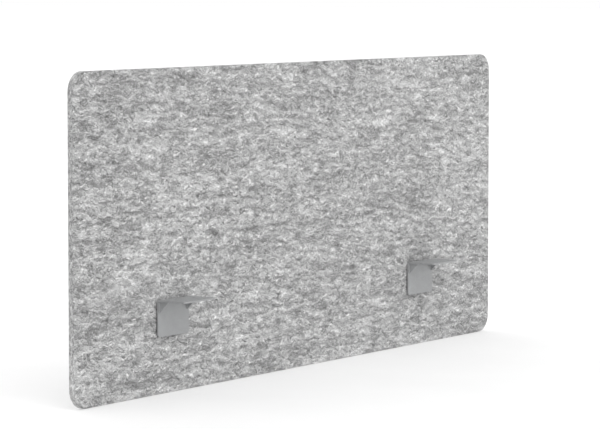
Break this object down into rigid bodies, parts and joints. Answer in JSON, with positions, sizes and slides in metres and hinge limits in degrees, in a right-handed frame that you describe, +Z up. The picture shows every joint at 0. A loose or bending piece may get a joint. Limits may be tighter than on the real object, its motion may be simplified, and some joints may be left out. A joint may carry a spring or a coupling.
{
  "type": "desk privacy panel",
  "caption": "Rounded felt board that stands in the gap between two rows of desktops, gripped below the tops by two screw clamps.",
  "frame": {"origin": "middle of the board's bottom edge", "axes": "+X along the board, +Y from the fixed jaws' side to the screws' side, +Z up"},
  "size_m": [1.524, 0.148, 0.61],
  "materials": {
    "felt": "mottled light grey pressed felt",
    "powder_coated_steel": "fine-textured silver-grey powder coat",
    "zinc_plated_steel": "bright zinc plate",
    "rubber": "matt black",
    "nylon": "natural nylon",
    "knob_plastic": "fine-grained black moulding"
  },
  "bodies": {
    "desk_brackets": {"fixed_bracket_left": "powder_coated_steel", "fixed_jaw_pad_left": "rubber", "screw_bracket_left": "powder_coated_steel", "clamp_nut_left": "powder_coated_steel", "guide_bushes_left": "nylon", "fixed_bracket_right": "powder_coated_steel", "fixed_jaw_pad_right": "rubber", "screw_bracket_right": "powder_coated_steel", "clamp_nut_right": "powder_coated_steel", "guide_bushes_right": "nylon"},
    "panel": {"felt_panel": "felt"},
    "moving_jaw_left": {"pressure_plate_left": "zinc_plated_steel", "pressure_pad_left": "rubber", "guide_pins_left": "zinc_plated_steel", "pin_clips_left": "zinc_plated_steel", "screw_socket_left": "zinc_plated_steel"},
    "screw_left": {"clamp_screw_left": "zinc_plated_steel", "clamp_knob_left": "knob_plastic", "knob_cap_left": "knob_plastic"},
    "moving_jaw_right": {"pressure_plate_right": "zinc_plated_steel", "pressure_pad_right": "rubber", "guide_pins_right": "zinc_plated_steel", "pin_clips_right": "zinc_plated_steel", "screw_socket_right": "zinc_plated_steel"},
    "screw_right": {"clamp_screw_right": "zinc_plated_steel", "clamp_knob_right": "knob_plastic", "knob_cap_right": "knob_plastic"}
  },
  "joints": [
    {"name": "panel_lift", "type": "slide", "parent": "desk_brackets", "child": "panel", "axis": [0, 0, 1], "range_m": [0, 0.18]},
    {"name": "jaw_slide_left", "type": "slide", "parent": "desk_brackets", "child": "moving_jaw_left", "axis": [0, 1, 0], "range_m": [0, 0.00375]},
    {"name": "screw_turn_left", "type": "hinge", "parent": "moving_jaw_left", "child": "screw_left", "pos_m": [-0.457, 0.0302, 0.143], "axis": [0, 1, 0], "range_deg": [0, 1080]},
    {"name": "jaw_slide_right", "type": "slide", "parent": "desk_brackets", "child": "moving_jaw_right", "axis": [0, 1, 0], "range_m": [0, 0.00375]},
    {"name": "screw_turn_right", "type": "hinge", "parent": "moving_jaw_right", "child": "screw_right", "pos_m": [0.457, 0.0302, 0.143], "axis": [0, 1, 0], "range_deg": [0, 1080]}
  ],
  "couplings": [
    {"joint": "screw_turn_left", "follows": "jaw_slide_left", "rad_per_m": 5026.5},
    {"joint": "screw_turn_right", "follows": "jaw_slide_right", "rad_per_m": 5026.5}
  ]
}
